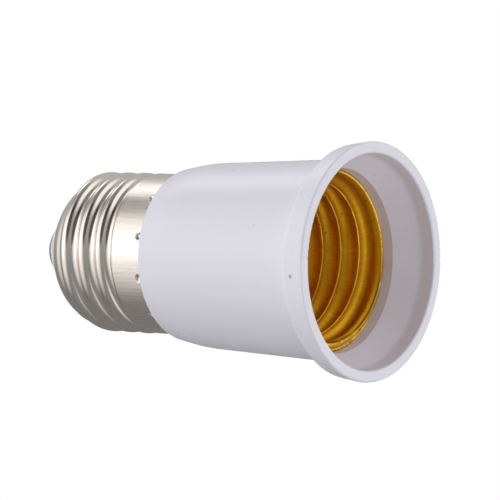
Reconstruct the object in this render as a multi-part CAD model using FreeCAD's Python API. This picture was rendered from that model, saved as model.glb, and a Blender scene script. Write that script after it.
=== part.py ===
import FreeCAD, Part
import math
import os

# Lamp socket adapter: a short extender that screws into a lamp holder and takes a lamp.
# It stands on its mouth, with the axis along +Z and the screw cap on top.
# The origin is the centre of the flat rim face round the mouth. All sizes are in millimetres.

# Lamp thread, rolled in sheet: round crests and round roots of one radius, tangent to each other
PITCH = 3.62
THREAD_ARC_R = 1.025
TURN_STEPS = 72
PITCH_STEPS = 16

# White moulding, outside. The end step is how far the body stands out past the screw cap.
RIM_WALL = 1.85
BAND_LENGTH = 3.92
BAND_DRAFT = 8.0
FLARE_SLOPE = 67.0
COVE_R = 3.2
BODY_LENGTH = 36.0
BODY_WALL = 1.44
BODY_DRAFT = 2.3
SHOULDER_LENGTH = 5.0
SHOULDER_R = 36.0
END_STEP = 0.9
RIM_EDGE_R = 0.35
BAND_EDGE_R = 1.2
END_EDGE_R = 0.45

# White moulding, inside, built up from the socket shell that it holds
BORE_CLEARANCE = 0.15
BORE_DRAFT = 1.9
RECESS_STEP = 2.4
RECESS_DEPTH = 2.5
RECESS_DRAFT = 4.0
RECESS_CORNER_R = 2.0
CONE_LENGTH = 3.96
THROAT_EDGE_R = 0.2
FLOOR_SET_BACK = 5.0
FLOOR_THICKNESS = 3.2
FLOOR_CORNER_R = 1.2
SEAT_GAP = 0.02

# Neck of the moulding, which the screw cap is pushed over
NECK_LENGTH = 18.5
NECK_CLEARANCE = 0.08
NECK_WALL = 1.95
NECK_BORE_DRAFT = 0.8
NECK_CORNER_R = 0.3
NECK_LEAD_R = 1.0
NOTCH_SIDE_CLEARANCE = 0.3
NOTCH_DEPTH_CLEARANCE = 0.2

# Screw cap, rolled from nickel-plated sheet
CAP_SHEET = 0.25
CAP_CREST_R = 13.15
CAP_SKIRT_STEP = 0.1
CAP_GAP = 0.1
CAP_OVERHANG = 2.2
CAP_LIP_STEP = 1.6
CAP_END_R = 4.15
CAP_RUN_IN = 5.7
CAP_RUN_IN_LENGTH = 1.5
CAP_RUN_OUT_LENGTH = 1.6
CAP_CREST_RISE = 2.79
STAKE_COUNT = 12
STAKE_R = 0.56
STAKE_DEPTH = 0.42
STAKE_SET_BACK = 0.83
STAKE_ANGLE = 283.1

# Socket shell, rolled from gold-coloured sheet
SOCKET_SHEET = 0.25
SOCKET_CREST_R = 12.2
SOCKET_LIP_SET_BACK = 1.65
SOCKET_LIP_CLEARANCE = 0.2
SOCKET_FLARE_LENGTH = 2.0
SOCKET_BASE_CORNER_R = 2.0
SOCKET_BASE_FLAT = 0.6
SOCKET_THREAD_SET_BACK = 0.3
SOCKET_RUN_LENGTH = 1.5
SOCKET_CREST_SET_BACK = 3.49
SOCKET_CREST_ANGLE = 90.0
SLOT_RIVET_CLEARANCE = 0.9
SLOT_END_CLEARANCE = 2.6

# Contact tongue, folded from brass strip, and the rivets. Its width is a share of the slot's.
TONGUE_SHARE = 0.54
TONGUE_SHEET = 0.4
TONGUE_HEEL = 3.0
TONGUE_FOLD = 6.4
TONGUE_FOLD_R = 1.2
TONGUE_FOLD_HEIGHT = 2.5
TONGUE_LEAF_R = 2.5
TONGUE_RISE = 4.6
TONGUE_NOSE = 3.6
TONGUE_NOSE_DROP = 0.9
RIVET_R = 1.05
RIVET_HEAD_STEP = 0.65
RIVET_HEAD_HEIGHT = 0.6
RIVET_HEAD_EDGE_R = 0.48
RIVET_TAIL_STEP = 0.55
RIVET_TAIL_HEIGHT = 0.5
RIVET_TAIL_EDGE_R = 0.3
RIVET_CLEARANCE = 0.05

# Solder tags
TAG_SHEET = 0.4
TAG_RING_STEP = 0.3
TAG_BORE_CLEARANCE = 0.4
TAG_WIDTH = 2.2
TAG_REACH = 2.7
TAG_HEIGHT = 4.0
TAG_BEND_R = 0.6

# Tip of the screw cap
TIP_LENGTH = 7.1
TIP_SIDE_CLEARANCE = 0.61
TIP_LIP_CLEARANCE = 0.4
TIP_TOP_R = 5.6
TIP_WALL = 1.6
TIP_CLEARANCE = 0.1
TIP_FOOT_HEIGHT = 0.5
TIP_FOOT_EDGE_R = 0.3
TIP_UNDER_LIP = 0.35
TIP_EDGE_R = 0.5
CONTACT_STEP = 0.6
CONTACT_RIM = 0.3
CONTACT_HEIGHT = 3.2
CONTACT_CROWN_R = 0.5
CONTACT_SHANK_R = 1.1
CONTACT_SHANK_LENGTH = 2.6

# Leads and solder. The live lead's two bends lie at shares of its height.
CORE_R = 0.45
SLEEVE_R = 1.0
LEAD_START_RISE = 1.0
LEAD_TAG_GAP = 0.05
LEAD_BEND_R = 8.0
LEAD_FIRST_BEND = 0.4
LEAD_SECOND_BEND = 0.68
NEUTRAL_BEND_R = 3.6
NEUTRAL_END_GAP = 0.35
TIP_STRIP_LENGTH = 1.6
CAP_STRIP_LENGTH = 2.6
SOLDER_R = 0.8
SOLDER_HEIGHT = 1.2
SOLDER_RISE = 1.2
TIP_SOLDER_STEP = 0.4
TIP_SOLDER_DROP = 0.2
CAP_SOLDER_HEIGHT = 1.0
CAP_SOLDER_SHIFT = 0.4
CAP_SOLDER_SEAT = 0.02

# Length that a cutter stands out past what it cuts
OVERCUT = 1.0

# Heights and radii that follow from the sizes above
thread_angle = math.asin(PITCH / (4 * THREAD_ARC_R))
thread_depth = 2 * THREAD_ARC_R * (1 - math.cos(thread_angle))
throat_z = RECESS_DEPTH + CONE_LENGTH
floor_z = BODY_LENGTH - FLOOR_SET_BACK
floor_under_z = floor_z + FLOOR_THICKNESS
neck_end_z = BODY_LENGTH + NECK_LENGTH
cap_start_z = BODY_LENGTH + CAP_GAP
cap_end_z = neck_end_z + CAP_OVERHANG
cap_length = cap_end_z - cap_start_z
cap_skirt_r = CAP_CREST_R - CAP_SKIRT_STEP
cap_root_r = CAP_CREST_R - thread_depth
cap_lip_r = cap_root_r - CAP_LIP_STEP
socket_root_r = SOCKET_CREST_R + thread_depth
socket_lip_z = throat_z + SOCKET_LIP_SET_BACK
socket_base_z = floor_z - SEAT_GAP - SOCKET_SHEET
tip_top_z = neck_end_z + TIP_LENGTH
tag_under_z = floor_under_z + TAG_SHEET


def vec(x, y, z):
    return FreeCAD.Vector(x, y, z)


def tan_deg(angle):
    return math.tan(math.radians(angle))


def bore_radius(z):
    """Radius of the drafted bore at height z: it clears the socket shell at the floor."""
    return socket_root_r + SOCKET_SHEET + BORE_CLEARANCE + (floor_z - z) * tan_deg(BORE_DRAFT)


# Radii that are stacked on the ones above
throat_r = bore_radius(throat_z)
body_r = throat_r + BODY_WALL
rim_inner_r = throat_r + RECESS_STEP
rim_outer_r = rim_inner_r + RIM_WALL
neck_r = cap_root_r - CAP_SHEET - NECK_CLEARANCE
neck_bore_end_r = neck_r - NECK_WALL
neck_bore_r = neck_bore_end_r - (neck_end_z - floor_under_z) * tan_deg(NECK_BORE_DRAFT)
rivet_head_r = RIVET_R + RIVET_HEAD_STEP
rivet_tail_r = RIVET_R + RIVET_TAIL_STEP
tag_ring_r = rivet_tail_r + TAG_RING_STEP
rivet_x = neck_bore_r - tag_ring_r - TAG_BORE_CLEARANCE
slot_width = 2 * (rivet_x - rivet_head_r - SLOT_RIVET_CLEARANCE)
tongue_width = TONGUE_SHARE * slot_width
contact_r = TIP_TOP_R - CONTACT_STEP
tip_solder_r = CONTACT_SHANK_R + TIP_SOLDER_STEP
notch_width = 2 * (SLEEVE_R + NOTCH_SIDE_CLEARANCE)
notch_depth = 2 * (SLEEVE_R + NOTCH_DEPTH_CLEARANCE)


def smooth_step(value):
    """Rises from 0 to 1 with level ends."""
    t = max(0.0, min(1.0, value))
    return t * t * (3 - 2 * t)


def rounded_path(corners, closed, place):
    """Edges along straight runs, with a tangent arc at each corner that has a radius.

    corners are (u, w, radius), and place turns (u, w) into a point in space. An arc takes at
    most half of the shorter side next to it, or all of that side between sharp neighbours.
    """
    count = len(corners)
    starts = []
    ends = []
    middles = []
    for i, (u, w, radius) in enumerate(corners):
        here = vec(u, w, 0)
        is_end = not closed and i in (0, count - 1)
        if radius == 0 or is_end:
            starts.append(here)
            ends.append(here)
            middles.append(None)
            continue
        before = vec(*corners[i - 1][:2], 0) - here
        after = vec(*corners[(i + 1) % count][:2], 0) - here
        half = before.getAngle(after) / 2
        room = 0.49 * min(before.Length, after.Length)
        if corners[i - 1][2] == 0 and corners[(i + 1) % count][2] == 0:
            room = 0.98 * min(before.Length, after.Length)
        reach = min(radius / math.tan(half), room)
        used_radius = reach * math.tan(half)
        before.normalize()
        after.normalize()
        bisector = before + after
        bisector.normalize()
        centre = here + bisector * (used_radius / math.sin(half))
        starts.append(here + before * reach)
        ends.append(here + after * reach)
        middles.append(centre - bisector * used_radius)
    edges = []
    for i in range(count):
        if middles[i] is not None:
            points = [place(p.x, p.y) for p in (starts[i], middles[i], ends[i])]
            edges.append(Part.Arc(*points).toShape())
        if i == count - 1 and not closed:
            break
        nxt = (i + 1) % count
        if ends[i].distanceToPoint(starts[nxt]) > 1e-6:
            line = Part.LineSegment(place(ends[i].x, ends[i].y), place(starts[nxt].x, starts[nxt].y))
            edges.append(line.toShape())
    return Part.Wire(edges)


def revolve(corners):
    """Solid of revolution about Z from a closed outline of (radius, height, corner radius)."""
    wire = rounded_path(corners, True, lambda u, w: vec(u, 0, w))
    return Part.Face(wire).revolve(vec(0, 0, 0), vec(0, 0, 1), 360)


def rod(path, radius):
    """Round bar along a wire of straight runs and tangent arcs."""
    first = path.OrderedEdges[0]
    start = first.valueAt(first.FirstParameter)
    direction = first.tangentAt(first.FirstParameter)
    circle = Part.Wire(Part.makeCircle(radius, start, direction))
    return path.makePipeShell([circle], True, False)


def thread_wave(rise, crest_arc, root_arc):
    """How far a rolled thread's surface lies below its crest, at a height from the crest."""
    offset = abs((rise + PITCH / 2) % PITCH - PITCH / 2)
    if offset < crest_arc * math.sin(thread_angle):
        return crest_arc - math.sqrt(crest_arc**2 - offset**2)
    below = math.sqrt(root_arc**2 - (PITCH / 2 - offset) ** 2)
    return crest_arc + root_arc - (crest_arc + root_arc) * math.cos(thread_angle) - (root_arc - below)


def spline_skin(point, length):
    """Smooth closed skin through point(angle, distance), round the axis and along a length.

    Its poles are set a little past the points, which a cubic spline then meets closely.
    """
    rows = max(8, round(length * PITCH_STEPS / PITCH))
    places = [0, 1 / 3] + list(range(1, rows)) + [rows - 1 / 3, rows]
    turn = 2 * math.pi / TURN_STEPS
    poles = []
    for i in range(TURN_STEPS):
        column = []
        for k, place in enumerate(places):
            s = place * length / rows
            here = point(i * turn, s)
            bend = point((i + 1) * turn, s) + point((i - 1) * turn, s) - here * 2
            if 1 < k < rows + 1:
                step = length / rows
                bend = bend + point(i * turn, s + step) + point(i * turn, s - step) - here * 2
            column.append(here - bend / 6)
        poles.append(column)
    skin = Part.BSplineSurface()
    skin.buildFromPolesMultsKnots(
        poles,
        [1] * (TURN_STEPS + 1),
        [4] + [1] * (rows - 1) + [4],
        list(range(TURN_STEPS + 1)),
        list(range(rows + 1)),
        True,
        False,
        3,
        3,
    )
    return skin.toShape()


def closed_sheet(outer, inner):
    """Solid between two skins, closed by a ring at each end."""
    rings = []
    outer_ends = sorted(end_rings(outer), key=lambda edge: edge.CenterOfMass.z)
    inner_ends = sorted(end_rings(inner), key=lambda edge: edge.CenterOfMass.z)
    for a, b in zip(outer_ends, inner_ends):
        rings.append(Part.makeRuledSurface(a, b))
    shell = Part.makeShell([outer, inner] + rings)
    shell.sewShape()
    solid = Part.makeSolid(Part.Shell(shell.Faces))
    if solid.Volume < 0:
        solid.reverse()
    return solid


def end_rings(skin):
    """The closed edges of a skin, without its seam."""
    return [edge for edge in skin.Edges if edge.isClosed()]


def arc_line(segments):
    """Plane line given as (length, turn in degrees) pieces, walked from a point and a heading.

    Returns a function of the distance along it, which gives the point and the heading there.
    """
    (u, w), heading, pieces = segments

    def walk(distance):
        x, y, angle = u, w, math.radians(heading)
        left = distance
        for i, (length, turn) in enumerate(pieces):
            part = left if i == len(pieces) - 1 else min(left, length)
            curve = math.radians(turn) / length
            if turn == 0:
                x += part * math.cos(angle)
                y += part * math.sin(angle)
            else:
                end_angle = angle + curve * part
                x += (math.sin(end_angle) - math.sin(angle)) / curve
                y -= (math.cos(end_angle) - math.cos(angle)) / curve
                angle = end_angle
            left -= part
            if left <= 0 and i < len(pieces) - 1:
                break
        return x, y, angle

    return walk


def make_screw_cap():
    """Rolled screw cap: plain skirt, round right-hand thread, end turned in over the insulator."""
    turn_in = math.degrees(math.acos(1 - CAP_LIP_STEP / CAP_END_R))
    arc_height = CAP_END_R * math.sin(math.radians(turn_in))
    step_in = cap_skirt_r - cap_root_r
    straight = cap_length - arc_height
    arc_length = CAP_END_R * math.radians(turn_in)
    line = arc_line(((cap_root_r, cap_start_z), 90, [(straight, 0), (arc_length, turn_in)]))
    crest_z = BODY_LENGTH + CAP_CREST_RISE
    run_out_z = cap_end_z - arc_height

    def skin(depth):
        def point(theta, distance):
            r, z, heading = line(distance)
            started = smooth_step((z - cap_start_z - CAP_RUN_IN) / CAP_RUN_IN_LENGTH)
            going = 1 - smooth_step((z - run_out_z) / CAP_RUN_OUT_LENGTH)
            rise = z - crest_z - PITCH * theta / (2 * math.pi)
            wave = thread_wave(rise, THREAD_ARC_R - depth, THREAD_ARC_R + depth)
            threaded = thread_depth - wave
            out = (step_in * (1 - started) + threaded * started) * going - depth
            u = r + out * math.sin(heading)
            w = z - out * math.cos(heading)
            return vec(u * math.cos(theta), u * math.sin(theta), w)

        return spline_skin(point, straight + arc_length)

    cap = closed_sheet(skin(0.0), skin(CAP_SHEET))
    dents, pits = stake_marks()
    mid_wall = Part.makeCylinder(cap_skirt_r - CAP_SHEET / 2, cap_length, vec(0, 0, cap_start_z))
    return cap.fuse([dent.common(mid_wall) for dent in dents]).cut(pits)


def stake_marks():
    """Punch marks that hold the skirt on the neck: the pushed-in metal, and the hollow in it."""
    centre_r = cap_skirt_r + STAKE_R - STAKE_DEPTH
    height = cap_start_z + STAKE_SET_BACK
    dents = []
    pits = []
    for k in range(STAKE_COUNT):
        angle = math.radians(STAKE_ANGLE + k * 360 / STAKE_COUNT)
        centre = vec(centre_r * math.cos(angle), centre_r * math.sin(angle), height)
        dents.append(Part.makeSphere(STAKE_R + CAP_SHEET, centre))
        pits.append(Part.makeSphere(STAKE_R, centre))
    return dents, pits


def make_socket_shell():
    """Rolled socket shell: flared lip, round right-hand thread, slotted base with rivet holes."""
    lip_r = bore_radius(socket_lip_z) - SOCKET_LIP_CLEARANCE
    flare_r = lip_r - SOCKET_SHEET - socket_root_r
    flare_turn = 2 * math.degrees(math.atan(flare_r / SOCKET_FLARE_LENGTH))
    flare_arc = SOCKET_FLARE_LENGTH / math.sin(math.radians(flare_turn))
    flare = flare_arc * math.radians(flare_turn)
    straight = socket_base_z - socket_lip_z - SOCKET_FLARE_LENGTH - SOCKET_BASE_CORNER_R
    corner = SOCKET_BASE_CORNER_R * math.pi / 2
    pieces = [(flare, -flare_turn), (straight, 0), (corner, 90), (SOCKET_BASE_FLAT, 0)]
    line = arc_line(((lip_r - SOCKET_SHEET, socket_lip_z), 90 + flare_turn, pieces))
    thread_start_z = socket_lip_z + SOCKET_THREAD_SET_BACK
    thread_end_z = socket_base_z - SOCKET_BASE_CORNER_R
    crest_z = socket_lip_z + SOCKET_CREST_SET_BACK
    crest_turn = SOCKET_CREST_ANGLE / 360

    def skin(depth):
        def point(theta, distance):
            r, z, heading = line(distance)
            started = smooth_step((z - thread_start_z) / SOCKET_RUN_LENGTH)
            going = 1 - smooth_step((z - thread_end_z + SOCKET_RUN_LENGTH) / SOCKET_RUN_LENGTH)
            rise = z - crest_z - PITCH * (theta / (2 * math.pi) - crest_turn)
            wave = thread_wave(rise, THREAD_ARC_R + depth, THREAD_ARC_R - depth)
            out = depth - (thread_depth - wave) * started * going
            u = r + out * math.sin(heading)
            w = z - out * math.cos(heading)
            return vec(u * math.cos(theta), u * math.sin(theta), w)

        return spline_skin(point, flare + straight + corner + SOCKET_BASE_FLAT)

    wall = closed_sheet(skin(SOCKET_SHEET), skin(0.0))
    base_r = socket_root_r - SOCKET_BASE_CORNER_R - SOCKET_BASE_FLAT / 2
    base = Part.makeCylinder(base_r, SOCKET_SHEET, vec(0, 0, socket_base_z))
    slot_length = 2 * (TONGUE_FOLD + SLOT_END_CLEARANCE)
    slot = stadium(slot_width, slot_length, socket_base_z - OVERCUT, SOCKET_SHEET + 2 * OVERCUT)
    holes = [rivet_hole(x, socket_base_z, SOCKET_SHEET) for x in (-rivet_x, rivet_x)]
    return wall.fuse(base).cut([slot] + holes)


def rivet_hole(x, z, thickness):
    """Cutter for a rivet's hole through a sheet or a floor that starts at height z."""
    radius = RIVET_R + RIVET_CLEARANCE
    return Part.makeCylinder(radius, thickness + 2 * OVERCUT, vec(x, 0, z - OVERCUT))


def stadium(width, length, z, height):
    """Block with round ends, long in Y, standing on height z."""
    reach = (length - width) / 2
    ends = [Part.makeCylinder(width / 2, height, vec(0, y, z)) for y in (-reach, reach)]
    middle = Part.makeBox(width, 2 * reach, height, vec(-width / 2, -reach, z))
    return middle.fuse(ends)


def make_body():
    """One white moulding: flanged mouth, drafted bore, floor, and the neck for the screw cap."""
    band_back_r = rim_outer_r - BAND_LENGTH * tan_deg(BAND_DRAFT)
    flare_z = BAND_LENGTH + (band_back_r - body_r) / tan_deg(FLARE_SLOPE)
    shoulder_z = BODY_LENGTH - SHOULDER_LENGTH
    shoulder_r = body_r - (shoulder_z - flare_z) * tan_deg(BODY_DRAFT)
    recess_r = rim_inner_r - RECESS_DEPTH * tan_deg(RECESS_DRAFT)
    skirt_neck_r = cap_skirt_r - CAP_SHEET - NECK_CLEARANCE
    neck_step_z = cap_start_z + CAP_RUN_IN - (skirt_neck_r - neck_r)
    outline = [
        (rim_inner_r, 0, RIM_EDGE_R),
        (rim_outer_r, 0, RIM_EDGE_R),
        (band_back_r, BAND_LENGTH, BAND_EDGE_R),
        (body_r, flare_z, COVE_R),
        (shoulder_r, shoulder_z, SHOULDER_R),
        (cap_skirt_r + END_STEP, BODY_LENGTH, END_EDGE_R),
        (skirt_neck_r, BODY_LENGTH, 0),
        (skirt_neck_r, neck_step_z, 0),
        (neck_r, neck_step_z + skirt_neck_r - neck_r, 0),
        (neck_r, neck_end_z, NECK_LEAD_R),
        (neck_bore_end_r, neck_end_z, 0),
        (neck_bore_r, floor_under_z, NECK_CORNER_R),
        (0, floor_under_z, 0),
        (0, floor_z, 0),
        (bore_radius(floor_z), floor_z, FLOOR_CORNER_R),
        (throat_r, throat_z, THROAT_EDGE_R),
        (recess_r, RECESS_DEPTH, RECESS_CORNER_R),
    ]
    body = revolve(outline)
    holes = [rivet_hole(x, floor_z, FLOOR_THICKNESS) for x in (-rivet_x, 0, rivet_x)]
    notch_corner = vec(-CAP_CREST_R, -notch_width / 2, neck_end_z - notch_depth)
    notch = Part.makeBox(CAP_CREST_R, notch_width, notch_depth + OVERCUT, notch_corner)
    dents, _ = stake_marks()
    return body.cut(holes + [notch] + dents)


def make_rivet(x, grip_top, grip_under):
    """Rivet along Z: domed head on the mouth side, spread tail below what it grips."""
    outline = [
        (0, grip_top - RIVET_HEAD_HEIGHT, 0),
        (rivet_head_r, grip_top - RIVET_HEAD_HEIGHT, RIVET_HEAD_EDGE_R),
        (rivet_head_r, grip_top, 0),
        (RIVET_R, grip_top, 0),
        (RIVET_R, grip_under, 0),
        (rivet_tail_r, grip_under, 0),
        (rivet_tail_r, grip_under + RIVET_TAIL_HEIGHT, RIVET_TAIL_EDGE_R),
        (0, grip_under + RIVET_TAIL_HEIGHT, 0),
    ]
    rivet = revolve(outline)
    rivet.translate(vec(x, 0, 0))
    return rivet


def make_tongue():
    """Brass strip: foot riveted to the floor, folded back over itself to a raised nose."""
    foot_z = floor_z - TONGUE_SHEET / 2
    leaf_z = floor_z - TONGUE_RISE + TONGUE_SHEET / 2
    corners = [
        (-TONGUE_HEEL, foot_z, 0),
        (TONGUE_FOLD, foot_z, TONGUE_FOLD_R),
        (TONGUE_FOLD, foot_z - TONGUE_FOLD_HEIGHT, TONGUE_FOLD_R),
        (0, leaf_z, TONGUE_LEAF_R),
        (-TONGUE_NOSE, leaf_z + TONGUE_NOSE_DROP, 0),
    ]
    path = rounded_path(corners, False, lambda u, w: vec(0, u, w))
    half = TONGUE_SHEET / 2
    side = tongue_width / 2
    section = Part.makePolygon(
        [
            vec(-side, -TONGUE_HEEL, foot_z - half),
            vec(side, -TONGUE_HEEL, foot_z - half),
            vec(side, -TONGUE_HEEL, foot_z + half),
            vec(-side, -TONGUE_HEEL, foot_z + half),
            vec(-side, -TONGUE_HEEL, foot_z - half),
        ]
    )
    strip = path.makePipeShell([section], True, False)
    return strip.cut(rivet_hole(0, foot_z - half, TONGUE_SHEET))


def make_tag(x):
    """Solder tag: ring under the rivet's tail, and a tab turned down along the lead."""
    z = floor_under_z
    ring = Part.makeCylinder(tag_ring_r, TAG_SHEET, vec(x, 0, z))
    middle = z + TAG_SHEET / 2
    corners = [(x, middle, 0), (x + TAG_REACH, middle, TAG_BEND_R), (x + TAG_REACH, z + TAG_HEIGHT, 0)]
    path = rounded_path(corners, False, lambda u, w: vec(u, 0, w))
    side = TAG_WIDTH / 2
    section = Part.makePolygon(
        [
            vec(x, -side, z),
            vec(x, side, z),
            vec(x, side, z + TAG_SHEET),
            vec(x, -side, z + TAG_SHEET),
            vec(x, -side, z),
        ]
    )
    tab = path.makePipeShell([section], True, False)
    return ring.fuse(tab).removeSplitter().cut(rivet_hole(x, z, TAG_SHEET))


def live_route():
    """Corners of the live lead, from its tag to the tail of the centre contact, in the XZ plane."""
    start_x = TAG_REACH + TAG_SHEET / 2 + LEAD_TAG_GAP + CORE_R
    start_z = tag_under_z + LEAD_START_RISE
    end_z = tip_top_z - CONTACT_SHANK_LENGTH
    span = end_z - start_z
    return [
        (start_x, start_z, 0),
        (start_x, start_z + LEAD_FIRST_BEND * span, LEAD_BEND_R),
        (0, start_z + LEAD_SECOND_BEND * span, LEAD_BEND_R),
        (0, end_z, 0),
    ]


def neutral_route():
    """Corners of the neutral lead, from its tag out through the notch to the screw cap."""
    start_x = -rivet_x + TAG_REACH - TAG_SHEET / 2 - LEAD_TAG_GAP - CORE_R
    start_z = tag_under_z + LEAD_START_RISE
    end_x = -(cap_root_r - CAP_SHEET - NEUTRAL_END_GAP)
    turn_z = neck_end_z - notch_depth / 2
    return [
        (start_x, start_z, 0),
        (start_x, turn_z, NEUTRAL_BEND_R),
        (end_x, turn_z, 0),
    ]


def trimmed(corners, first, last):
    """The same route with its two ends shortened."""
    points = [vec(u, w, 0) for u, w, _ in corners]
    lead_in = points[1] - points[0]
    lead_in.normalize()
    lead_out = points[-2] - points[-1]
    lead_out.normalize()
    start = points[0] + lead_in * first
    end = points[-1] + lead_out * last
    return [(start.x, start.y, 0)] + list(corners[1:-1]) + [(end.x, end.y, 0)]


def make_lead(corners, bare_start, bare_end):
    """Bare core along the whole route, and the sleeve along what isn't stripped."""
    def place(u, w):
        return vec(u, 0, w)

    core = rod(rounded_path(corners, False, place), CORE_R)
    covered = rounded_path(trimmed(corners, bare_start, bare_end), False, place)
    sleeve = rod(covered, SLEEVE_R).cut(core)
    return core, sleeve


def make_solder(centre, along, height, radius, cutters):
    """Bead of solder: a ball drawn out along its lead, cut back where other pieces are."""
    bead = Part.makeSphere(radius)
    matrix = FreeCAD.Matrix()
    matrix.scale(1, 1, height / radius)
    bead = bead.transformGeometry(matrix)
    bead.Placement = FreeCAD.Placement(centre, FreeCAD.Rotation(vec(0, 0, 1), along))
    return bead.cut(cutters)


def make_tip_insulator():
    """Insulating cone in the end of the screw cap, hollow below and pierced for the contact."""
    lip_z = cap_end_z - TIP_CLEARANCE
    inner_z = tip_top_z - TIP_WALL
    base_r = cap_root_r - CAP_SHEET - TIP_SIDE_CLEARANCE
    base_bore = base_r - 2 * TIP_WALL
    top_bore = TIP_TOP_R - TIP_WALL
    outline = [
        (base_r, neck_end_z, 0),
        (base_r, neck_end_z + TIP_FOOT_HEIGHT, TIP_FOOT_EDGE_R),
        (cap_lip_r - TIP_LIP_CLEARANCE, lip_z - TIP_UNDER_LIP, 0),
        (TIP_TOP_R, tip_top_z, TIP_EDGE_R),
        (CONTACT_SHANK_R + RIVET_CLEARANCE, tip_top_z, 0),
        (CONTACT_SHANK_R + RIVET_CLEARANCE, inner_z, 0),
        (top_bore, inner_z, 0),
        (base_bore, neck_end_z, 0),
    ]
    return revolve(outline)


def make_centre_contact():
    """Domed contact, a little flat on its crown, with a shank through the insulator."""
    dome_z = tip_top_z + CONTACT_RIM
    dome = CONTACT_HEIGHT - CONTACT_RIM
    reach = contact_r - CONTACT_CROWN_R
    dome_r = (reach**2 + dome**2) / (2 * dome)
    half_angle = math.asin(reach / dome_r) / 2
    middle_x = CONTACT_CROWN_R + dome_r * math.sin(half_angle)
    middle = vec(middle_x, 0, dome_z + dome - dome_r * (1 - math.cos(half_angle)))
    crown = vec(CONTACT_CROWN_R, 0, dome_z + dome)
    shank_end_z = tip_top_z - CONTACT_SHANK_LENGTH
    corners = [
        vec(contact_r, 0, dome_z),
        vec(contact_r, 0, tip_top_z),
        vec(CONTACT_SHANK_R, 0, tip_top_z),
        vec(CONTACT_SHANK_R, 0, shank_end_z),
        vec(0, 0, shank_end_z),
        vec(0, 0, dome_z + dome),
        crown,
    ]
    edges = [Part.Arc(crown, middle, corners[0]).toShape()]
    edges += [Part.makeLine(a, b) for a, b in zip(corners, corners[1:])]
    return Part.Face(Part.Wire(edges)).revolve(vec(0, 0, 0), vec(0, 0, 1), 360)


def build():
    """All the pieces, by name."""
    live_core, live_sleeve = make_lead(live_route(), TAG_HEIGHT, TIP_STRIP_LENGTH)
    neutral_core, neutral_sleeve = make_lead(neutral_route(), TAG_HEIGHT, CAP_STRIP_LENGTH)
    live_tag = make_tag(0)
    neutral_tag = make_tag(-rivet_x)
    contact = make_centre_contact()
    shell_rivets = [
        make_rivet(-rivet_x, socket_base_z, tag_under_z),
        make_rivet(rivet_x, socket_base_z, floor_under_z),
    ]
    live_x, live_z, _ = live_route()[0]
    neutral_x, neutral_z, _ = neutral_route()[0]
    tip_z = live_route()[-1][1]
    cap_x, cap_z, _ = neutral_route()[-1]
    live_spot = vec(live_x, 0, live_z + SOLDER_RISE)
    neutral_spot = vec(neutral_x, 0, neutral_z + SOLDER_RISE)
    tip_spot = vec(0, 0, tip_z - TIP_SOLDER_DROP)
    cap_spot = vec(cap_x + CAP_SOLDER_SHIFT, 0, cap_z)
    up = vec(0, 0, 1)
    outward = vec(-1, 0, 0)
    inside_cap = Part.makeCylinder(
        cap_root_r - CAP_SHEET - CAP_SOLDER_SEAT, cap_length, vec(0, 0, cap_start_z)
    )
    cap_wall = Part.makeCylinder(2 * CAP_CREST_R, cap_length, vec(0, 0, cap_start_z)).cut(inside_cap)
    return {
        "body_moulding": make_body(),
        "screw_cap": make_screw_cap(),
        "socket_shell": make_socket_shell(),
        "contact_tongue": make_tongue(),
        "tongue_rivet": make_rivet(0, floor_z - TONGUE_SHEET, tag_under_z),
        "shell_rivets": Part.makeCompound(shell_rivets),
        "live_tag": live_tag,
        "neutral_tag": neutral_tag,
        "live_core": live_core,
        "live_sleeve": live_sleeve,
        "neutral_core": neutral_core,
        "neutral_sleeve": neutral_sleeve,
        "tip_insulator": make_tip_insulator(),
        "centre_contact": contact,
        "live_tag_solder": make_solder(live_spot, up, SOLDER_HEIGHT, SOLDER_R, [live_core, live_tag]),
        "neutral_tag_solder": make_solder(
            neutral_spot, up, SOLDER_HEIGHT, SOLDER_R, [neutral_core, neutral_tag]
        ),
        "tip_solder": make_solder(tip_spot, up, SOLDER_HEIGHT, tip_solder_r, [live_core, contact]),
        "cap_solder": make_solder(
            cap_spot, outward, CAP_SOLDER_HEIGHT, SOLDER_R, [neutral_core, cap_wall]
        ),
    }


os.makedirs("parts", exist_ok=True)
for name, shape in build().items():
    shape.exportStep(f"parts/{name}.step")
    print(name, "solids", len(shape.Solids), "volume", round(shape.Volume, 1), "valid", shape.isValid())
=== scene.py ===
# %% [markdown]
# # A lamp socket adapter
# This lesson dresses a small lamp socket extender: a white moulding that a lamp screws into, with
# a gold-coloured threaded shell inside its mouth and a nickel-plated screw cap at the other end.
# The measured model is loaded first and is never moved. Everything after it adds looks only.

# %% Load the measured model
import bpy
import math
from mathutils import Matrix, Vector


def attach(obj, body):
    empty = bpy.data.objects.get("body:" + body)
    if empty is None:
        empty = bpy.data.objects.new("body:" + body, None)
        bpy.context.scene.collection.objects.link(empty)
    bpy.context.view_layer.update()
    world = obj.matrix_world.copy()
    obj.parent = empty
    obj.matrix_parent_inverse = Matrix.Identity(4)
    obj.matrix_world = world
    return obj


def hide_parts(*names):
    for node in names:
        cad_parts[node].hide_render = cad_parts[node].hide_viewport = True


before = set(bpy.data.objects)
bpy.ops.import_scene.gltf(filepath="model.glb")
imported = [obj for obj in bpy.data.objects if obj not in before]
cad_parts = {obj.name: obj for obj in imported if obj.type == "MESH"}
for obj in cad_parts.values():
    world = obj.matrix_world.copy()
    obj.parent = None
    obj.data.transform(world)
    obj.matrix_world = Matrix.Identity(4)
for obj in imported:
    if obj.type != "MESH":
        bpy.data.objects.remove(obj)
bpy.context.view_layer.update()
print("pieces:", sorted(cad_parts))

# %% [markdown]
# ## Writing nodes as sums
# Node trees are easier to read as arithmetic. A Wire holds one socket, and a sum of wires adds the
# Math nodes that work it out. Every other node comes from one method of Graph, which sets the
# node's own options first and its sockets after that, because some options change the sockets.

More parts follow.
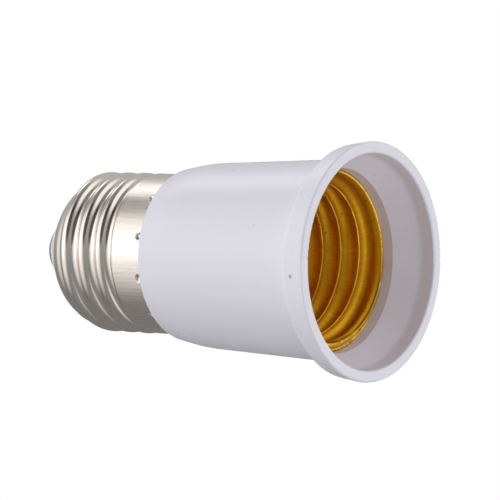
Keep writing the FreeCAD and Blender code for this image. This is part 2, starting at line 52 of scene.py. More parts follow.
# %% A wire that can be added, multiplied and compared
class Wire:
    def __init__(self, graph, socket):
        self.graph = graph
        self.socket = socket

    def __add__(self, other):
        return self.graph.math("ADD", self, other)

    def __radd__(self, other):
        return self.graph.math("ADD", other, self)

    def __sub__(self, other):
        return self.graph.math("SUBTRACT", self, other)

    def __rsub__(self, other):
        return self.graph.math("SUBTRACT", other, self)

    def __mul__(self, other):
        return self.graph.math("MULTIPLY", self, other)

    def __rmul__(self, other):
        return self.graph.math("MULTIPLY", other, self)

    def __truediv__(self, other):
        return self.graph.math("DIVIDE", self, other)

    def __rtruediv__(self, other):
        return self.graph.math("DIVIDE", other, self)

    def __pow__(self, other):
        return self.graph.math("POWER", self, other)

    def __rpow__(self, other):
        return self.graph.math("POWER", other, self)

    def __lt__(self, other):
        return self.graph.math("LESS_THAN", self, other)

    def __gt__(self, other):
        return self.graph.math("GREATER_THAN", self, other)


# %% A node tree that is built by calls
class Graph:
    def __init__(self, tree):
        self.tree = tree

    def node(self, kind, settings=None, values=None, out=0):
        """Adds a node: its options first, then its sockets. Returns the wanted output."""
        made = self.tree.nodes.new(kind)
        for name, value in (settings or {}).items():
            setattr(made, name, value)
        for name, value in (values or {}).items():
            self.fill(find_socket(made.inputs, name), value)
        return Wire(self, find_socket(made.outputs, out))

    def fill(self, socket, value):
        """Links a wire to a socket, or sets the socket's own value."""
        for item in value if isinstance(value, list) else [value]:
            if isinstance(item, Wire):
                self.tree.links.new(item.socket, socket)
            else:
                socket.default_value = item

    def math(self, operation, first, second=0.0):
        return self.node("ShaderNodeMath", {"operation": operation}, {0: first, 1: second})

    def smooth(self, value, low, high):
        """0 below low, 1 above high, with level ends."""
        values = {"Value": value, "From Min": low, "From Max": high}
        return self.node("ShaderNodeMapRange", {"interpolation_type": "SMOOTHSTEP"}, values)

    def vector(self, x, y, z):
        return self.node("ShaderNodeCombineXYZ", None, {"X": x, "Y": y, "Z": z})

    def split(self, place):
        """The three numbers of a place."""
        first = self.node("ShaderNodeSeparateXYZ", None, {"Vector": place})
        return [Wire(self, socket) for socket in first.socket.node.outputs]


def find_socket(sockets, name):
    """A socket by number, by identifier or by the name that the editor shows."""
    if isinstance(name, int):
        return sockets[name]
    for socket in sockets:
        if socket.identifier == name:
            return socket
    return next(socket for socket in sockets if socket.name == name)


print("helpers ready")

# %% [markdown]
# ## The rolled sheet threads
# Both metal shells are thin sheet that was rolled between formed wheels, so the thread is a wave
# in the sheet: round crests and round roots that join without a corner. The measured model has
# the same wave, but it is made of many small facets, and polished metal shows every one of them.
# Spinning a profile would leave out the thread's climb. So one tree of Geometry Nodes bends a flat
# grid round the axis and moves each point by the rule of the wave, and both shells use that tree
# with their own sizes. All lengths in it are millimetres until the last step.

# %% The wave that both threads share
MM = 0.001
PITCH = 3.62
ARC_R = 1.025
WAVE_ANGLE = math.asin(PITCH / (4 * ARC_R))
WAVE_DEPTH = 2 * ARC_R * (1 - math.cos(WAVE_ANGLE))
CLIMB = PITCH / (2 * math.pi)
SHEET = 0.25
print("thread depth", round(WAVE_DEPTH, 3), "mm, climb", round(CLIMB, 3), "mm a radian")

# %% The screw cap's sizes, from the skirt to the turned-in end
CAP_CREST_R = 13.15
CAP_ROOT_R = CAP_CREST_R - WAVE_DEPTH
SKIRT_R = 13.05
CAP_START = 36.1
CAP_END = 56.7
CAP_END_R = 4.15
CAP_END_DROP = 1.6
CAP_TURN = math.acos(1 - CAP_END_DROP / CAP_END_R)
CAP_BEND_HEIGHT = CAP_END - CAP_END_R * math.sin(CAP_TURN)
MARK_COUNT = 12
PUNCH_R = 0.56
CAP_SIZES = {
    "Columns": 288,
    "Rows": 144,
    "Column Crowding": 0.6,
    "Row Crowding": 0.55,
    "Start Radius": CAP_ROOT_R,
    "Start Height": CAP_START,
    "Flare Radius": 1.0,
    "Flare Turn": 0.0,
    "Straight": CAP_BEND_HEIGHT - CAP_START,
    "Corner Radius": CAP_END_R,
    "Corner Turn": CAP_TURN,
    "Flat": 0.0,
    "Plain Step": SKIRT_R - CAP_ROOT_R,
    "Wave Sign": 1.0,
    "Crest Height": 38.79,
    "Run In": 41.8,
    "Run In Length": 1.5,
    "Run Out": CAP_BEND_HEIGHT,
    "Run Out Length": 1.6,
    "Mark Depth": 0.42,
    "Mark Height": 36.93,
    "Mark Angle": math.radians(283.1),
}
print("cap root radius", round(CAP_ROOT_R, 3), "mm, bend at", round(CAP_BEND_HEIGHT, 3), "mm")

# %% The socket shell's sizes, from the tapered bore that it sits in
SOCKET_CREST_R = 12.2
SOCKET_ROOT_R = SOCKET_CREST_R + WAVE_DEPTH
BORE_END = 31.0
BORE_GAP = 0.15
BORE_TAPER = math.tan(math.radians(1.9))
LIP_HEIGHT = 8.11
LIP_GAP = 0.06
LIP_R = SOCKET_ROOT_R + BORE_GAP + (BORE_END - LIP_HEIGHT) * BORE_TAPER - LIP_GAP
FLARE_HEIGHT = 2.0
FLARE_TURN = 2 * math.atan((LIP_R - SOCKET_ROOT_R) / FLARE_HEIGHT)
FLARE_R = FLARE_HEIGHT / math.sin(FLARE_TURN)
BASE_CORNER_R = 2.0
BASE_RING = 0.6
SOCKET_BASE = 30.98 - SHEET
SOCKET_SIZES = {
    "Columns": 240,
    "Rows": 130,
    "Column Crowding": 0.0,
    "Row Crowding": 0.0,
    "Start Radius": LIP_R,
    "Start Height": LIP_HEIGHT,
    "Flare Radius": FLARE_R,
    "Flare Turn": FLARE_TURN,
    "Straight": SOCKET_BASE - LIP_HEIGHT - FLARE_HEIGHT - BASE_CORNER_R,
    "Corner Radius": BASE_CORNER_R,
    "Corner Turn": math.pi / 2,
    "Flat": BASE_RING,
    "Plain Step": 0.0,
    "Wave Sign": -1.0,
    "Crest Height": 11.6 - PITCH * 0.25,
    "Run In": 8.41,
    "Run In Length": 1.5,
    "Run Out": SOCKET_BASE - BASE_CORNER_R,
    "Run Out Length": 1.5,
    "Mark Depth": 0.0,
    "Mark Height": 0.0,
    "Mark Angle": 0.0,
}
print("socket root radius", round(SOCKET_ROOT_R, 3), "mm, lip radius", round(LIP_R, 3), "mm")

# %% Start and end a tree, with one named input for each size
def start_tree(name, sizes):
    """A geometry tree with its inputs, and a wire for each input by name."""
    tree = bpy.data.node_groups.new(name, "GeometryNodeTree")
    tree.interface.new_socket("Mesh", in_out="OUTPUT", socket_type="NodeSocketGeometry")
    for key, value in sizes.items():
        kind = "NodeSocketInt" if isinstance(value, int) else "NodeSocketFloat"
        tree.interface.new_socket(key, in_out="INPUT", socket_type=kind)
    tree.interface.new_socket("Finish", in_out="INPUT", socket_type="NodeSocketMaterial")
    graph = Graph(tree)
    source = tree.nodes.new("NodeGroupInput")
    wires = {socket.name: Wire(graph, socket) for socket in source.outputs if socket.name}
    return graph, wires


def end_tree(graph, mesh, finish):
    """Makes instances real, gives the material and ends the tree."""
    real = graph.node("GeometryNodeRealizeInstances", None, {"Geometry": mesh})
    dressed = graph.node("GeometryNodeSetMaterial", None, {"Geometry": real, "Material": finish})
    sink = graph.tree.nodes.new("NodeGroupOutput")
    graph.tree.links.new(dressed.socket, sink.inputs[0])


# %% [markdown]
# ### The sheet without its thread
# Seen in section, the plain sheet is a flared lip, a straight wall, a round corner and a flat
# ring. Each of them takes its share of the distance along the sheet, and the sums below say where
# a point at that distance lies and how far the sheet leans there.

# %% The path of the sheet, from its first edge to its last
def sheet_path(g, size, along):
    """Radius, height and lean of the sheet's plain line at a distance along it."""
    flare_length = size["Flare Radius"] * size["Flare Turn"]
    in_flare = g.math("MINIMUM", along, flare_length)
    lean_in = size["Flare Turn"] - in_flare / size["Flare Radius"]
    flare_drop = g.math("COSINE", lean_in) - g.math("COSINE", size["Flare Turn"])
    flare_rise = g.math("SINE", size["Flare Turn"]) - g.math("SINE", lean_in)
    after = g.math("MAXIMUM", along - flare_length, 0.0)
    in_straight = g.math("MINIMUM", after, size["Straight"])
    after_straight = g.math("MAXIMUM", after - size["Straight"], 0.0)
    corner_length = size["Corner Radius"] * size["Corner Turn"]
    in_corner = g.math("MINIMUM", after_straight, corner_length)
    lean_out = in_corner / size["Corner Radius"]
    in_flat = g.math("MAXIMUM", after_straight - corner_length, 0.0)
    corner_drop = size["Corner Radius"] * (1 - g.math("COSINE", lean_out)) + in_flat
    radius = size["Start Radius"] - size["Flare Radius"] * flare_drop - corner_drop
    corner_rise = size["Corner Radius"] * g.math("SINE", lean_out)
    height = size["Start Height"] + size["Flare Radius"] * flare_rise + in_straight + corner_rise
    return radius, height, lean_in + lean_out


# %% [markdown]
# ### The thread and the punch marks
# The wave needs only the distance from the nearest crest, and Ping-Pong gives it: it folds the
# height, less the thread's climb, to and fro between 0 and half a pitch. It folds the angle in
# the same way for the marks that a round punch left all round the skirt.

# %% The wave of the thread and the pits of the marks
def thread_height(g, size, turn, height):
    """How far the wave stands above its root: a crest arc and a root arc, joined on a slope."""
    rise = height - size["Crest Height"] - turn * CLIMB
    offset = g.math("PINGPONG", rise, PITCH / 2)
    on_crest = offset < ARC_R * math.sin(WAVE_ANGLE)
    crest = WAVE_DEPTH - ARC_R + g.math("SQRT", g.math("MAXIMUM", ARC_R**2 - offset**2, 0.0))
    from_root = PITCH / 2 - offset
    root = ARC_R - g.math("SQRT", g.math("MAXIMUM", ARC_R**2 - from_root**2, 0.0))
    return on_crest * crest + (1 - on_crest) * root


def mark_pit(g, size, turn, height):
    """Depth of the round pit that a punch leaves, many times round the skirt."""
    across = g.math("PINGPONG", turn - size["Mark Angle"], math.pi / MARK_COUNT) * SKIRT_R
    up = height - size["Mark Height"]
    ball = g.math("SQRT", g.math("MAXIMUM", PUNCH_R**2 - across**2 - up**2, 0.0))
    return g.math("MAXIMUM", ball - PUNCH_R + size["Mark Depth"], 0.0)


# %% The grid's lines, drawn closer where there is more to show
def grid_lines(g, size):
    """The angle of each column and the distance along the sheet of each row."""
    spot = g.split(g.node("GeometryNodeInputPosition"))
    around = spot[0] + 0.5
    upward = spot[1] + 0.5
    even_turn = around * (2 * math.pi)
    ripple = g.math("SINE", (even_turn - size["Mark Angle"]) * MARK_COUNT)
    turn = even_turn - ripple * size["Column Crowding"] / MARK_COUNT
    crowded = upward * (1 - size["Row Crowding"]) + upward**2 * size["Row Crowding"]
    flare_length = size["Flare Radius"] * size["Flare Turn"]
    corner_length = size["Corner Radius"] * size["Corner Turn"]
    along = crowded * (flare_length + size["Straight"] + corner_length + size["Flat"])
    return turn, along


# %% Bend the grid into the shell
WELD_GAP = 0.001 * MM


def rolled_sheet(g, size):
    """A grid bent round the axis, its points moved out by the thread and in by the marks."""
    counts = {"Vertices X": size["Columns"] + 1, "Vertices Y": size["Rows"] + 1}
    grid = g.node("GeometryNodeMeshGrid", None, {"Size X": 1.0, "Size Y": 1.0, **counts})
    turn, along = grid_lines(g, size)
    radius, height, lean = sheet_path(g, size, along)
    started = g.smooth(height, size["Run In"], size["Run In"] + size["Run In Length"])
    ended = g.smooth(height, size["Run Out"], size["Run Out"] + size["Run Out Length"])
    wave = thread_height(g, size, turn, height) * size["Wave Sign"]
    out = (size["Plain Step"] * (1 - started) + wave * started) * (1 - ended)
    out = out - mark_pit(g, size, turn, height)
    reach = (radius + out * g.math("COSINE", lean)) * MM
    level = (height + out * g.math("SINE", lean)) * MM
    spot = g.vector(reach * g.math("COSINE", turn), reach * g.math("SINE", turn), level)
    bent = g.node("GeometryNodeSetPosition", None, {"Geometry": grid, "Position": spot})
    return g.node("GeometryNodeMergeByDistance", None, {"Geometry": bent, "Distance": WELD_GAP})


print("rolled sheet rule ready")

# %% [markdown]
# ## From tree to mesh
# A tree is only a recipe, and other programs can't read it. So each shell's tree is put on an
# empty mesh, its inputs are set, and the result is copied into a plain mesh. Solidify then gives
# the skin the thickness of the sheet, and edges that are really sharp are marked as sharp.

# %% Turn a tree into a plain mesh
def final_mesh(piece):
    """A plain mesh of what a piece's modifiers make."""
    bpy.context.view_layer.update()
    ready = piece.evaluated_get(bpy.context.evaluated_depsgraph_get())
    return bpy.data.meshes.new_from_object(ready)


def cook(name, graph, sizes, finish):
    """Runs a tree on a blank mesh and returns a new object that holds the result."""
    blank = bpy.data.objects.new(name + "_blank", bpy.data.meshes.new(name + "_blank"))
    bpy.context.scene.collection.objects.link(blank)
    modifier = blank.modifiers.new("shape", "NODES")
    modifier.node_group = graph.tree
    for item in graph.tree.interface.items_tree:
        if item.in_out == "INPUT":
            modifier[item.identifier] = finish if item.name == "Finish" else sizes[item.name]
    mesh = final_mesh(blank)
    bpy.data.objects.remove(blank)
    mesh.name = name
    made = bpy.data.objects.new(name, mesh)
    bpy.context.scene.collection.objects.link(made)
    return made


# %% Give the skin its thickness
SHARP_ANGLE = math.radians(50)


def thicken(piece):
    """Gives a skin the thickness of its sheet, away from the side that its faces point to."""
    solid = piece.modifiers.new("sheet", "SOLIDIFY")
    solid.thickness = SHEET * MM
    solid.offset = -1.0
    solid.use_even_offset = True
    solid.use_quality_normals = True
    mesh = final_mesh(piece)
    piece.modifiers.clear()
    piece.data = mesh
    mesh.shade_smooth()
    mesh.set_sharp_from_angle(angle=SHARP_ANGLE)
    print(piece.name, len(mesh.vertices), "points,", len(mesh.polygons), "faces")


# %% [markdown]
# ## Tools for the finishes
# Each finish starts from Blender's main shader and the place on the piece, in Object coordinates,
# so that a pattern stays where it is when the piece moves. Noise between two close colours, a
# slightly uneven gloss and a shallow bump are what keep a surface from looking like card.

# %% Start a material
def start_material(name):
    """A material with its graph, its main shader and the place on the piece as a wire."""
    material = bpy.data.materials.new(name)
    material.use_nodes = True
    graph = Graph(material.node_tree)
    shader = material.node_tree.nodes["Principled BSDF"]
    place = graph.node("ShaderNodeTexCoord", None, None, "Object")
    return material, graph, shader, place


def grain(g, place, scale, detail=2.0, roughness=0.5):
    """Noise between 0 and 1 at a number of waves per metre."""
    values = {"Vector": place, "Scale": scale, "Detail": detail, "Roughness": roughness}
    return g.node("ShaderNodeTexNoise", None, values, "Fac")


def blend(g, mask, first, second):
    """Colour that goes from first to second with the mask."""
    values = {"Factor_Float": mask, "A_Color": first, "B_Color": second}
    return g.node("ShaderNodeMix", {"data_type": "RGBA"}, values, "Result_Color")


def bump(g, height, depth):
    """A normal that is tilted by a height from 0 to 1 over a depth in metres."""
    return g.node("ShaderNodeBump", None, {"Height": height, "Distance": depth, "Strength": 1.0})


def near(g, place, spot, radius):
    """1 at a spot on the piece, fading to 0 at a radius, both in millimetres."""
    centre = tuple(value * MM for value in spot)
    gap = g.node("ShaderNodeVectorMath", {"operation": "DISTANCE"}, {0: place, 1: centre}, "Value")
    return 1 - g.smooth(gap, 0.3 * radius * MM, radius * MM)


# %% [markdown]
# ## White plastic
# The body is a satin white moulding with a cool tint. Injection moulding leaves a very faint
# orange peel and small differences in gloss, and handling leaves a speck or two. So colour and
# gloss vary a little, and a bump of a few thousandths of a millimetre softens the highlight.

# %% The white plastic
SPECK_PLACE = (-2.2, -18.3, 2.4)
SPECK_R = 0.42
SPECK_COLOUR = (0.16, 0.15, 0.15, 1)


def white_plastic(name, colour, shade):
    material, g, shader, place = start_material(name)
    cloud = grain(g, place, 60.0, 3.0)
    peel = grain(g, place, 900.0)
    fine = grain(g, place, 5200.0)
    rare = g.smooth(grain(g, place, 700.0, 0.0), 0.84, 0.88)
    speck = g.math("MAXIMUM", near(g, place, SPECK_PLACE, SPECK_R), rare * 0.25)
    base = blend(g, cloud, colour, shade)
    g.fill(shader.inputs["Base Color"], blend(g, speck * 0.75, base, SPECK_COLOUR))
    g.fill(shader.inputs["Roughness"], 0.23 + cloud * 0.05 + fine * 0.02)
    g.fill(shader.inputs["Normal"], bump(g, peel * 0.9 + fine * 0.1, 0.003 * MM))
    shader.inputs["IOR"].default_value = 1.5
    return material


PLASTIC = white_plastic("white_plastic", (0.885, 0.883, 0.975, 1), (0.87, 0.868, 0.96, 1))
# The tip's plastic is paler than the body's as painted light: its extra lightness stands in for
# light falling on the tip.
TIP_PLASTIC_PAINTED_PALER = white_plastic("tip_plastic", (0.94, 0.935, 0.93, 1), (0.92, 0.915, 0.91, 1))
print("made", PLASTIC.name, TIP_PLASTIC_PAINTED_PALER.name)

# %% [markdown]
# ## Nickel plate
# The screw cap was drawn from sheet, which leaves fine straight marks along its axis, then rolled
# and plated. The marks show as thin bright and dark lines on the skirt. A pattern that should run
# along the axis needs the angle round the axis as one of its coordinates, so the noise gets the
# place on a circle and almost none of the height. Rolling polished the thread, so it is glossier
# than the skirt and its marks are fainter.

# %% Marks that run along the axis
def drawn_marks(g, place, scale, stretch):
    """Fine noise round the axis that is stretched along it."""
    x, y, z = g.split(place)
    radius = g.math("SQRT", x * x + y * y) + 1e-6
    spot = g.vector(x / radius, y / radius, z * stretch)
    return grain(g, spot, scale, 3.0, 0.7)


# %% The nickel plate
NICKEL_LIGHT = (0.79, 0.735, 0.68, 1)
NICKEL_DARK = (0.74, 0.68, 0.625, 1)
NICKEL_STREAK = (0.58, 0.53, 0.48, 1)


def nickel_plate(name):
    material, g, shader, place = start_material(name)
    height = g.split(place)[2]
    marks = drawn_marks(g, place, 44.0, 3.0)
    skirt = 1 - g.smooth(height, 41.5 * MM, 43.0 * MM)
    streak = g.smooth(marks, 0.42, 0.66) * (0.3 + skirt * 0.7)
    cloud = grain(g, place, 140.0, 3.0)
    base = blend(g, cloud, NICKEL_LIGHT, NICKEL_DARK)
    g.fill(shader.inputs["Base Color"], blend(g, streak * 0.55, base, NICKEL_STREAK))
    shader.inputs["Metallic"].default_value = 1.0
    g.fill(shader.inputs["Roughness"], 0.10 + marks * 0.08 + skirt * 0.13 + cloud * 0.04)
    g.fill(shader.inputs["Normal"], bump(g, marks * (0.30 + skirt * 0.70), 0.014 * MM))
    return material


NICKEL = nickel_plate("nickel_plate")
print("made", NICKEL.name)

# %% [markdown]
# ## Gold-coloured plate
# The socket shell is rolled sheet with a warm, deep finish. Inside a tube the light bounces from
# wall to wall, and each bounce takes on more of the colour, so the base colour is lighter than
# what the eye sees. The rolling wheels polish each crest, so the crest is glossier and has a bump
# for its two sides, and a painted highlight in a brighter colour runs along it. It is far thinner
# than the mesh, so the material finds the nearest crest from the thread's own rule and draws the
# line there. Small nicks come from screwing lamps in and out. The colour is browner in a band by
# the lip, and a painted highlight runs in broken flecks along the lip's edge.

# %% Distance from the crests of the thread
def crest_gap(g, place, crest_height):
    """How far a point lies from the nearest crest, in millimetres along the axis."""
    x, y, z = g.split(place)
    turn = g.math("ARCTAN2", y, x)
    rise = z / MM - crest_height - turn * CLIMB
    return g.math("PINGPONG", rise, PITCH / 2)


# %% The painted highlight on each crest, dimmer in patches by noise
def crest_highlight_line(g, place):
    gap = crest_gap(g, place, SOCKET_SIZES["Crest Height"])
    kept = 0.55 + 0.45 * g.smooth(grain(g, place, 330.0, 3.0, 0.6), 0.40, 0.58)
    return (1 - g.smooth(gap, 0.0, 0.26)) * kept


def below(g, from_lip, low, high):
    """1 near the lip, fading to 0 between two heights above it."""
    return 1 - g.smooth(from_lip, low, high)


# %% The gold plate's colours, from the painted highlight on its crests to its dark nicks
GOLD_LIGHT = (0.90, 0.49, 0.024, 1)
GOLD_DEEP = (0.78, 0.39, 0.015, 1)
GOLD_CLOUD = (0.74, 0.34, 0.011, 1)
GOLD_BROWN = (0.50, 0.20, 0.005, 1)
# Painted highlight: a pale gold for the crest lines and the lip's edge, standing in for light
# glinting on them.
GOLD_PAINTED_HIGHLIGHT = (1.0, 0.70, 0.12, 1)
NICK_COLOUR = (0.20, 0.08, 0.01, 1)


def gold_colour(g, place, marks, brown, painted_highlight, nick):
    """The plate's colour: light and deep marks, clouds, a browner band, painted highlights and
    dark nicks over them.
    """
    cloud = grain(g, place, 160.0, 3.0)
    base = blend(g, g.smooth(marks, 0.35, 0.65), GOLD_LIGHT, GOLD_DEEP)
    base = blend(g, g.smooth(cloud, 0.42, 0.66) * 0.7, base, GOLD_CLOUD)
    base = blend(g, brown * 0.65, base, GOLD_BROWN)
    base = blend(g, painted_highlight * 0.9, base, GOLD_PAINTED_HIGHLIGHT)
    return blend(g, nick * 0.75, base, NICK_COLOUR)


# %% The gold plate
def gold_plate(name):
    material, g, shader, place = start_material(name)
    from_lip = g.split(place)[2] / MM - LIP_HEIGHT
    marks = drawn_marks(g, place, 50.0, 14.0)
    rough_spot = grain(g, place, 800.0, 4.0, 0.7)
    nick = g.smooth(rough_spot + below(g, from_lip, 0.3, 1.3) * 0.05, 0.66, 0.71)
    # The colour turns browner in a band up to 2.8 mm above the lip.
    brown = below(g, from_lip, 1.9, 2.8)
    # Painted highlight along the lip's edge, in broken flecks: pale colour that stands in for
    # light catching the edge.
    lip_edge_highlight = below(g, from_lip, 0.05, 0.22) * g.smooth(rough_spot, 0.36, 0.48)
    # The crest line: lower roughness and a bump for its polish, and a painted highlight in the
    # colour.
    crest_highlight = crest_highlight_line(g, place)
    # Painted highlight: the crest lines and the lip's edge get a pale gold colour that stands in
    # for light glinting on them.
    painted_highlight = g.math("MAXIMUM", crest_highlight, lip_edge_highlight)
    colour = gold_colour(g, place, marks, brown, painted_highlight, nick)
    g.fill(shader.inputs["Base Color"], colour)
    shader.inputs["Metallic"].default_value = 1.0
    g.fill(shader.inputs["Roughness"], 0.46 + marks * 0.10 - crest_highlight * 0.20)
    rounded_edge = g.smooth(from_lip, 0.0, 0.26) * 0.45
    relief = crest_highlight + rounded_edge + marks * 0.018 + nick * 0.036
    g.fill(shader.inputs["Normal"], bump(g, relief, 0.3 * MM))
    return material


GOLD = gold_plate("gold_plate")
print("made", GOLD.name)

# %% [markdown]
# ## The small parts
# Rivets, tags, leads and solder are mostly out of sight. Each still gets its own finish, because
# the piece may be taken apart: brass strip with rolling marks, tinned tags, bare copper, soft
# sleeves and dull solder.

# %% Simple metals and sleeves
def small_metal(name, colour, shade, roughness):
    material, g, shader, place = start_material(name)
    cloud = grain(g, place, 500.0, 4.0, 0.6)
    fine = grain(g, place, 4000.0)
    g.fill(shader.inputs["Base Color"], blend(g, cloud, colour, shade))
    shader.inputs["Metallic"].default_value = 1.0
    g.fill(shader.inputs["Roughness"], roughness + cloud * 0.12)
    g.fill(shader.inputs["Normal"], bump(g, cloud * 0.6 + fine * 0.4, 0.01 * MM))
    return material


def soft_sleeve(name, colour, shade):
    material, g, shader, place = start_material(name)
    cloud = grain(g, place, 700.0, 3.0)
    g.fill(shader.inputs["Base Color"], blend(g, cloud, colour, shade))
    g.fill(shader.inputs["Roughness"], 0.42 + cloud * 0.12)
    g.fill(shader.inputs["Normal"], bump(g, cloud, 0.01 * MM))
    return material


BRASS_STRIP = small_metal("tongue_brass", (0.80, 0.62, 0.27, 1), (0.70, 0.50, 0.20, 1), 0.22)
RIVET_METAL = small_metal("rivet_metal", (0.74, 0.58, 0.28, 1), (0.66, 0.50, 0.24, 1), 0.28)
TINPLATE = small_metal("tag_tinplate", (0.68, 0.67, 0.65, 1), (0.58, 0.57, 0.55, 1), 0.30)
COPPER = small_metal("copper_core", (0.80, 0.42, 0.26, 1), (0.70, 0.34, 0.20, 1), 0.28)
SOLDER = small_metal("solder", (0.62, 0.62, 0.62, 1), (0.50, 0.50, 0.51, 1), 0.38)
BROWN = soft_sleeve("brown_sleeve", (0.22, 0.10, 0.05, 1), (0.18, 0.08, 0.04, 1))
BLUE = soft_sleeve("blue_sleeve", (0.05, 0.13, 0.42, 1), (0.04, 0.11, 0.36, 1))
print("made the small parts' finishes")

# %% [markdown]
# ## Make the screw cap
# The cap is skinned from its outside, where the thread shows, so its thickness goes inwards.

# %% The screw cap
cap_graph, cap_wires = start_tree("rolled_cap", CAP_SIZES)
end_tree(cap_graph, rolled_sheet(cap_graph, cap_wires), cap_wires["Finish"])
cap = cook("rolled_screw_cap", cap_graph, CAP_SIZES, NICKEL)
thicken(cap)
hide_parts("screw_cap")
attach(cap, "root")

# %% [markdown]
# ## Make the socket shell
# This shell is skinned from its inside, so its faces are turned towards the axis, and its
# thickness goes outwards into the bore. Its base is a flat disc with a long hole for the contact
# tongue and two rivet holes. Fill Curve makes such a disc from closed outlines, and leaves a
# hole where one outline lies inside another.

# %% The base of the socket shell, as outlines that are filled
SLOT_WIDTH = 9.2
SLOT_LENGTH = 18.0
SLOT_CORNER_R = 4.59
RIVET_HOLE_R = 1.1
RIVET_PLACE = 7.2


def moved(g, shape, step):
    """A shape that is shifted by a step in metres."""
    return g.node("GeometryNodeTransform", None, {"Geometry": shape, "Translation": step})


def shell_base(g, radius, columns):
    """A disc with a long hole and two rivet holes, made by filling closed curves."""
    circle = "GeometryNodeCurvePrimitiveCircle"
    outline = g.node(circle, None, {"Resolution": columns, "Radius": radius})
    box = {"Width": SLOT_WIDTH * MM, "Height": SLOT_LENGTH * MM}
    slot = g.node("GeometryNodeCurvePrimitiveQuadrilateral", None, box)
    corners = {"Curve": slot, "Radius": SLOT_CORNER_R * MM, "Count": 16}
    slot = g.node("GeometryNodeFilletCurve", None, corners)
    hole = g.node(circle, None, {"Resolution": 32, "Radius": RIVET_HOLE_R * MM})
    holes = [moved(g, hole, (x * MM, 0, 0)) for x in (-RIVET_PLACE, RIVET_PLACE)]
    curves = g.node("GeometryNodeJoinGeometry", None, {"Geometry": [outline, slot, *holes]})
    flat = g.node("GeometryNodeFillCurve", None, {"Curve": curves})
    return moved(g, flat, (0, 0, SOCKET_BASE * MM))


# %% The socket shell
socket_graph, socket_wires = start_tree("rolled_socket", SOCKET_SIZES)
wall = rolled_sheet(socket_graph, socket_wires)
base_r = (SOCKET_ROOT_R - BASE_CORNER_R - BASE_RING) * MM
base = shell_base(socket_graph, base_r, SOCKET_SIZES["Columns"])
both = socket_graph.node("GeometryNodeJoinGeometry", None, {"Geometry": [wall, base]})
seam = {"Geometry": both, "Distance": 2 * WELD_GAP}
joined = socket_graph.node("GeometryNodeMergeByDistance", None, seam)
turned = socket_graph.node("GeometryNodeFlipFaces", None, {"Mesh": joined})
end_tree(socket_graph, turned, socket_wires["Finish"])
shell = cook("rolled_socket_shell", socket_graph, SOCKET_SIZES, GOLD)
thicken(shell)
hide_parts("socket_shell")
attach(shell, "root")

# %% [markdown]
# ## Dress the measured pieces
# The other pieces keep their measured shape and only get a finish.

# %% Give each measured piece its finish
FINISHES = {
    "body_moulding": PLASTIC,
    "tip_insulator": TIP_PLASTIC_PAINTED_PALER,
    "centre_contact": NICKEL,
    "contact_tongue": BRASS_STRIP,
    "tongue_rivet": RIVET_METAL,
    "shell_rivets": RIVET_METAL,
    "live_tag": TINPLATE,
    "neutral_tag": TINPLATE,
    "live_core": COPPER,
    "neutral_core": COPPER,
    "live_sleeve": BROWN,
    "neutral_sleeve": BLUE,
    "live_tag_solder": SOLDER,
    "neutral_tag_solder": SOLDER,
    "tip_solder": SOLDER,
    "cap_solder": SOLDER,
}
for node, finish in FINISHES.items():
    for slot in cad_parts[node].material_slots:
        slot.material = finish
print("dressed", len(FINISHES), "measured pieces")

# %% [markdown]
# ## The floor
# A product shot stands on a pale sheet. The object stands on its mouth, and the camera looks up
# into it, so the floor is only drawn from above, and from below it is clear. To the camera it is
# mixed with white, which makes it pale without more light on the object, and it keeps the
# object's shadow. Rays for light and reflections pass through it.

# %% The floor's paper
FLOOR_COLOUR = (0.90, 0.90, 0.90, 1)
WHITE = (1, 1, 1, 1)
WHITE_SHARE = 0.55


def pale_paper():
    material = bpy.data.materials.new("pale_floor")
    material.use_nodes = True
    g = Graph(material.node_tree)
    g.tree.nodes.clear()
    shaded = g.node("ShaderNodeBsdfDiffuse", None, {"Color": FLOOR_COLOUR})
    white = g.node("ShaderNodeEmission", None, {"Color": WHITE, "Strength": 1.0})
    path = g.node("ShaderNodeLightPath", None, None, "Is Camera Ray")
    paper = g.node("ShaderNodeMixShader", None, {0: path * WHITE_SHARE, 1: shaded, 2: white})
    clear = g.node("ShaderNodeBsdfTransparent")
    under = g.node("ShaderNodeNewGeometry", None, None, "Backfacing")
    seen = g.node("ShaderNodeMixShader", None, {0: under, 1: paper, 2: clear})
    sink = g.tree.nodes.new("ShaderNodeOutputMaterial")
    g.tree.links.new(seen.socket, sink.inputs["Surface"])
    return material


# %% Lay the floor just under the rim
FLOOR_HALF = 3.0
FLOOR_LEVEL = -0.2 * MM

floor_mesh = bpy.data.meshes.new("floor")
floor_sides = [(-1, -1), (1, -1), (1, 1), (-1, 1)]
floor_corners = [(x * FLOOR_HALF, y * FLOOR_HALF, FLOOR_LEVEL) for x, y in floor_sides]
floor_mesh.from_pydata(floor_corners, [], [(0, 1, 2, 3)])
floor_mesh.materials.append(pale_paper())
floor = bpy.data.objects.new("floor", floor_mesh)
bpy.context.scene.collection.objects.link(floor)
floor.visible_diffuse = False
floor.visible_glossy = False
floor.visible_transmission = False
floor.visible_shadow = False
print("floor laid, metres across:", 2 * FLOOR_HALF)

# %% [markdown]
# ## The camera
# The camera was fitted to the rings of the mouth and the crests of the thread, with the real
# thread as the scale. It stands below the mouth and looks up at the object, which lies on its
# side in the picture, so the camera's own up points along the object's X axis.

# %% The camera, at the photo's angle
CAMERA_PLACE = Vector((0.0101, -0.3798, -0.2681))
FORWARD = Vector((-0.01871, 0.79236, 0.60979)).normalized()
RIGHT = FORWARD.cross(Vector((0.99953, 0.0, 0.03077))).normalized()
UP = RIGHT.cross(FORWARD).normalized()
FOCAL_LENGTH = 216
SENSOR_WIDTH = 36

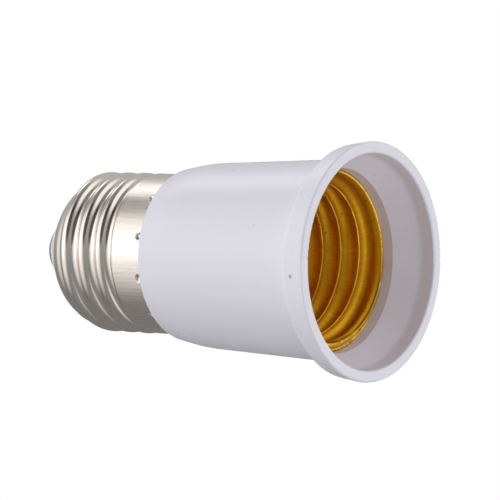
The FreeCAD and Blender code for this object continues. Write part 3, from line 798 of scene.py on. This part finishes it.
camera = bpy.data.objects.new("camera", bpy.data.cameras.new("camera"))
bpy.context.scene.collection.objects.link(camera)
camera_turn = Matrix((RIGHT, UP, -FORWARD)).transposed()
camera.matrix_world = Matrix.Translation(CAMERA_PLACE) @ camera_turn.to_4x4()
camera.data.lens = FOCAL_LENGTH
camera.data.sensor_width = SENSOR_WIDTH
camera.data.clip_start = 0.01
bpy.context.scene.camera = camera
print("camera at", [round(value, 4) for value in CAMERA_PLACE])

# %% [markdown]
# ## The light
# Bright metal shows the room around it, so its look depends on where the room is light and
# where it is dark. Lamps in the scene would do, but a world whose brightness changes softly with
# the direction is simpler and has less noise. Each part of the rule is a patch with a place and
# soft edges: lights on the left, behind, and at the mouth's side, and darker patches that put the
# dark bands into the thread. A patch's place is its turn to the camera's right and its rise, in
# degrees, and its edges are cosines of the angle from its middle: where it ends, and where it is
# at full strength.

# %% The patches of the room: strength, turn, rise, where it ends, where it is full
BIG_LIGHT = (-67, 9)
LIGHT_PATCHES = {
    "middle of the big light": (1.0, *BIG_LIGHT, 0.95, 0.99),
    "strip behind": (1.3, -146, 52, 0.965, 0.995),
    "wide light at the mouth": (1.45, 68, -18, 0.78, 0.95),
    "light along the rim": (0.2, 106, 0, 0.93, 0.98),
    "glow from below": (0.06, -5, -30, 0.60, 0.95),
    "high light at the mouth": (0.7, 74, 38, 0.86, 0.96),
}
DARK_PATCHES = {
    "gap beside the strip": (0.55, -108, 48, 0.95, 0.985),
    "dark behind the camera": (0.85, -5, 38, 0.82, 0.94),
    "dark overhead": (0.55, 0, 74, 0.84, 0.94),
}
print(len(LIGHT_PATCHES), "lights and", len(DARK_PATCHES), "dark patches")

# %% How directly a ray faces a place in the room
def toward(side, rise):
    """Direction from the object, by its turn to the camera's right and its rise, in degrees."""
    across, up = math.radians(side), math.radians(rise)
    level = -FORWARD * math.cos(across) + RIGHT * math.sin(across)
    return level * math.cos(up) + UP * math.sin(up)


def facing(g, direction, side, rise):
    """1 for rays that go straight at a place in the room, 0 at a right angle to it."""
    values = {0: direction, 1: tuple(toward(side, rise))}
    return g.node("ShaderNodeVectorMath", {"operation": "DOT_PRODUCT"}, values, "Value")


def patch(g, direction, strength, side, rise, ends, full):
    """A patch of the room with soft edges."""
    return strength * g.smooth(facing(g, direction, side, rise), ends, full)


# %% A softly lit room, as one rule for the brightness of each direction
BIG_LIGHT_ENDS = 0.45


def room_light(g, direction):
    """Brightness of the room in a direction: soft lights, and less light in the dark patches."""
    overhead = facing(g, direction, 0, 90)
    level = 0.235 + 0.35 * g.smooth(overhead, -0.5, 0.8)
    inside = g.math("MAXIMUM", facing(g, direction, *BIG_LIGHT) - BIG_LIGHT_ENDS, 0.0)
    level = level + 1.06 * inside / (1 - BIG_LIGHT_ENDS)
    for light in LIGHT_PATCHES.values():
        level = level + patch(g, direction, *light)
    for shade in DARK_PATCHES.values():
        level = level * (1 - patch(g, direction, *shade))
    return level


# %% The world: white to the camera, the soft room to everything else
ROOM_COLOUR = (1, 0.99, 0.985, 1)


def studio_world():
    world = bpy.data.worlds.new("studio")
    bpy.context.scene.world = world
    world.use_nodes = True
    g = Graph(world.node_tree)
    g.tree.nodes.clear()
    path = g.node("ShaderNodeLightPath", None, None, "Is Camera Ray")
    direction = g.node("ShaderNodeTexCoord", None, None, "Generated")
    room = {"Color": ROOM_COLOUR, "Strength": room_light(g, direction)}
    ambient = g.node("ShaderNodeBackground", None, room)
    white = g.node("ShaderNodeBackground", None, {"Color": WHITE, "Strength": 1.0})
    seen = g.node("ShaderNodeMixShader", None, {0: path, 1: ambient, 2: white})
    sink = g.tree.nodes.new("ShaderNodeOutputWorld")
    g.tree.links.new(seen.socket, sink.inputs["Surface"])


studio_world()
bpy.context.scene.view_settings.view_transform = "Standard"
print("world set")
